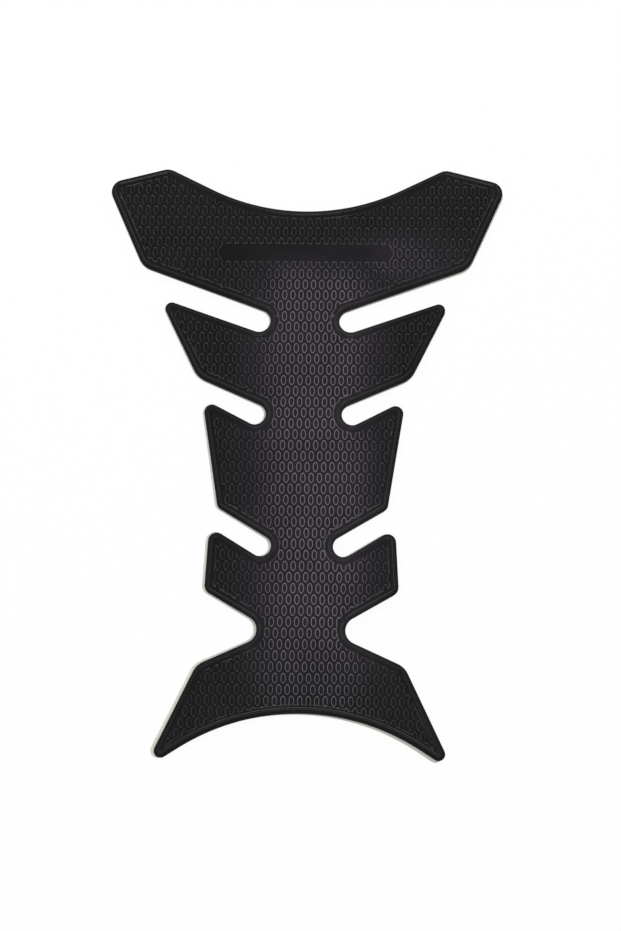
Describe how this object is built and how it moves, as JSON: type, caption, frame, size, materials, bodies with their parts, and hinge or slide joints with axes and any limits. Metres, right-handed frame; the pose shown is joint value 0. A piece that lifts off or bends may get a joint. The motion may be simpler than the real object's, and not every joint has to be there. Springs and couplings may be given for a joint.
{
  "type": "motorcycle tank pad",
  "caption": "Flexible moulded rubber pad with raised oval studs and slotted wings, stuck flat on a motorcycle's fuel tank to save the paint and give grip.",
  "frame": {"origin": "middle of the underside's box, on the plane of the adhesive back", "axes": "+Z out of the studded face, away from the tank; +Y along the pad towards its wide end; +X across it"},
  "size_m": [0.141, 0.2108, 0.0032],
  "materials": {
    "rubber": "black moulded rubber, satin, with a very fine grain",
    "backing": "pale cream adhesive sheet, matt"
  },
  "bodies": {
    "root": {"pad": "rubber", "adhesive_backing": "backing"}
  },
  "joints": []
}
